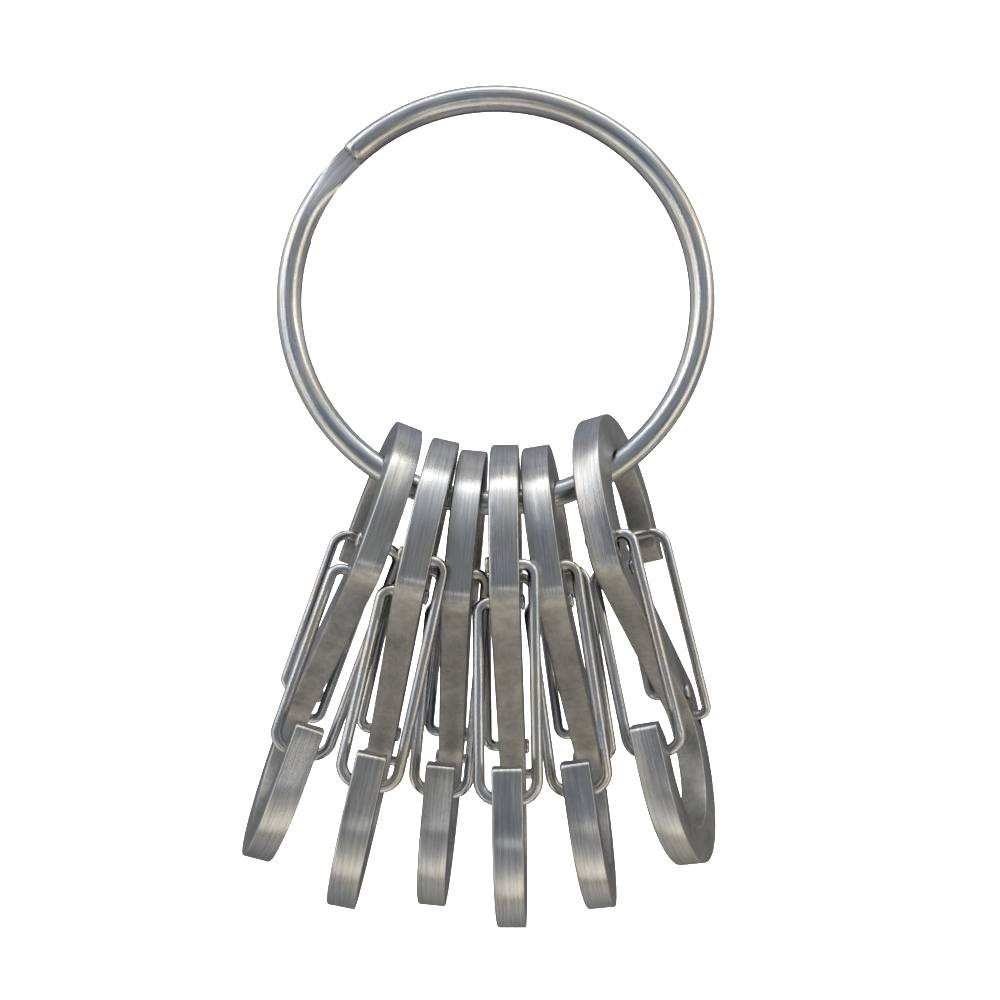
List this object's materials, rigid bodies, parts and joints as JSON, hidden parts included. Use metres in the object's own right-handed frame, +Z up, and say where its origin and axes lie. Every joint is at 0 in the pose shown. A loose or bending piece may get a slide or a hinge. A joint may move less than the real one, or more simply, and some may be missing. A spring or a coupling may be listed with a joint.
{
  "type": "split key ring with clips",
  "caption": "Round split key ring made of a two-turn spring wire, carrying flat S-shaped clips whose hooks are closed by sprung wire gates.",
  "frame": {"origin": "the hang point: the middle of the inner edge at the top of the split ring", "axes": "+Z up along the hanging keyring, +Y away from the front along the axis of the ring, +X to the right"},
  "size_m": [0.0562, 0.0304, 0.0946],
  "materials": {
    "ring_steel": "polished steel wire",
    "plate_steel": "brushed outer edges, satin faces, punched inner edges",
    "wire_steel": "drawn bright spring wire"
  },
  "bodies": {
    "ring": {"split_ring": "ring_steel"},
    "clip_1": {"clip_1_body": "plate_steel"},
    "clip_1_lower_gate": {"clip_1_lower_gate": "wire_steel"},
    "clip_1_upper_gate": {"clip_1_upper_gate": "wire_steel"},
    "clip_2": {"clip_2_body": "plate_steel"},
    "clip_2_lower_gate": {"clip_2_lower_gate": "wire_steel"},
    "clip_2_upper_gate": {"clip_2_upper_gate": "wire_steel"},
    "clip_3": {"clip_3_body": "plate_steel"},
    "clip_3_lower_gate": {"clip_3_lower_gate": "wire_steel"},
    "clip_3_upper_gate": {"clip_3_upper_gate": "wire_steel"},
    "clip_4": {"clip_4_body": "plate_steel"},
    "clip_4_lower_gate": {"clip_4_lower_gate": "wire_steel"},
    "clip_4_upper_gate": {"clip_4_upper_gate": "wire_steel"},
    "clip_5": {"clip_5_body": "plate_steel"},
    "clip_5_lower_gate": {"clip_5_lower_gate": "wire_steel"},
    "clip_5_upper_gate": {"clip_5_upper_gate": "wire_steel"},
    "clip_6": {"clip_6_body": "plate_steel"},
    "clip_6_lower_gate": {"clip_6_lower_gate": "wire_steel"},
    "clip_6_upper_gate": {"clip_6_upper_gate": "wire_steel"}
  },
  "joints": [
    {"name": "clip_1_slide", "type": "hinge", "parent": "ring", "child": "clip_1", "pos_m": [0, 0, -0.0225], "axis": [0, 1, 0], "range_deg": [0, 120]},
    {"name": "clip_6_slide", "type": "hinge", "parent": "ring", "child": "clip_6", "pos_m": [0, 0, -0.0225], "axis": [0, -1, 0], "range_deg": [0, 120]},
    {"name": "clip_2_slide", "type": "hinge", "parent": "ring", "child": "clip_2", "pos_m": [0, 0, -0.0225], "axis": [0, 1, 0], "range_deg": [0, 80]},
    {"name": "clip_3_slide", "type": "hinge", "parent": "ring", "child": "clip_3", "pos_m": [0, 0, -0.0225], "axis": [0, 1, 0], "range_deg": [0, 40]},
    {"name": "clip_4_slide", "type": "hinge", "parent": "ring", "child": "clip_4", "pos_m": [0, 0, -0.0225], "axis": [0, -1, 0], "range_deg": [0, 40]},
    {"name": "clip_5_slide", "type": "hinge", "parent": "ring", "child": "clip_5", "pos_m": [0, 0, -0.0225], "axis": [0, -1, 0], "range_deg": [0, 80]},
    {"name": "clip_1_lower_gate_hinge", "type": "hinge", "parent": "clip_1", "child": "clip_1_lower_gate", "pos_m": [-0.01356, -0.00707, -0.05331], "axis": [0.9144, 0.2521, -0.3167], "range_deg": [0, 25], "stiffness_Nm_per_rad": 0.006, "deforming": ["clip_1_lower_gate"]},
    {"name": "clip_1_upper_gate_hinge", "type": "hinge", "parent": "clip_1", "child": "clip_1_upper_gate", "pos_m": [-0.02385, 0.00936, -0.06997], "axis": [0.9144, 0.2521, -0.3167], "range_deg": [0, 25], "stiffness_Nm_per_rad": 0.006, "deforming": ["clip_1_upper_gate"]},
    {"name": "clip_2_lower_gate_hinge", "type": "hinge", "parent": "clip_2", "child": "clip_2_lower_gate", "pos_m": [-0.00834, -0.01032, -0.05513], "axis": [0.9754, 0.0576, -0.2127], "range_deg": [0, 25], "stiffness_Nm_per_rad": 0.006, "deforming": ["clip_2_lower_gate"]},
    {"name": "clip_2_upper_gate_hinge", "type": "hinge", "parent": "clip_2", "child": "clip_2_upper_gate", "pos_m": [-0.0135, 0.00557, -0.07447], "axis": [0.9754, 0.0576, -0.2127], "range_deg": [0, 25], "stiffness_Nm_per_rad": 0.006, "deforming": ["clip_2_upper_gate"]},
    {"name": "clip_3_lower_gate_hinge", "type": "hinge", "parent": "clip_3", "child": "clip_3_lower_gate", "pos_m": [-0.0039, -0.00666, -0.05646], "axis": [0.9958, -0.0087, -0.0906], "range_deg": [0, 25], "stiffness_Nm_per_rad": 0.006, "deforming": ["clip_3_lower_gate"]},
    {"name": "clip_3_upper_gate_hinge", "type": "hinge", "parent": "clip_3", "child": "clip_3_upper_gate", "pos_m": [-0.00546, 0.01058, -0.07527], "axis": [0.9958, -0.0087, -0.0906], "range_deg": [0, 25], "stiffness_Nm_per_rad": 0.006, "deforming": ["clip_3_upper_gate"]},
    {"name": "clip_4_lower_gate_hinge", "type": "hinge", "parent": "clip_4", "child": "clip_4_lower_gate", "pos_m": [0.00102, -0.01105, -0.05595], "axis": [0.999, -0.0419, 0.0157], "range_deg": [0, 25], "stiffness_Nm_per_rad": 0.006, "deforming": ["clip_4_lower_gate"]},
    {"name": "clip_4_upper_gate_hinge", "type": "hinge", "parent": "clip_4", "child": "clip_4_upper_gate", "pos_m": [0.002, 0.00461, -0.07612], "axis": [0.999, -0.0419, 0.0157], "range_deg": [0, 25], "stiffness_Nm_per_rad": 0.006, "deforming": ["clip_4_upper_gate"]},
    {"name": "clip_5_lower_gate_hinge", "type": "hinge", "parent": "clip_5", "child": "clip_5_lower_gate", "pos_m": [0.00586, -0.00822, -0.056], "axis": [0.9799, -0.1444, 0.1377], "range_deg": [0, 25], "stiffness_Nm_per_rad": 0.006, "deforming": ["clip_5_lower_gate"]},
    {"name": "clip_5_upper_gate_hinge", "type": "hinge", "parent": "clip_5", "child": "clip_5_upper_gate", "pos_m": [0.01093, 0.00817, -0.07494], "axis": [0.9799, -0.1444, 0.1377], "range_deg": [0, 25], "stiffness_Nm_per_rad": 0.006, "deforming": ["clip_5_upper_gate"]},
    {"name": "clip_6_lower_gate_hinge", "type": "hinge", "parent": "clip_6", "child": "clip_6_lower_gate", "pos_m": [0.01234, -0.00654, -0.05265], "axis": [0.9094, -0.3665, 0.1966], "range_deg": [0, 25], "stiffness_Nm_per_rad": 0.006, "deforming": ["clip_6_lower_gate"]},
    {"name": "clip_6_upper_gate_hinge", "type": "hinge", "parent": "clip_6", "child": "clip_6_upper_gate", "pos_m": [0.02242, 0.00903, -0.07023], "axis": [0.9094, -0.3665, 0.1966], "range_deg": [0, 25], "stiffness_Nm_per_rad": 0.006, "deforming": ["clip_6_upper_gate"]}
  ],
  "couplings": [
    {"joint": "clip_2_slide", "follows": "clip_1_slide", "ratio": 0.66667},
    {"joint": "clip_3_slide", "follows": "clip_1_slide", "ratio": 0.33333},
    {"joint": "clip_4_slide", "follows": "clip_6_slide", "ratio": 0.33333},
    {"joint": "clip_5_slide", "follows": "clip_6_slide", "ratio": 0.66667}
  ]
}
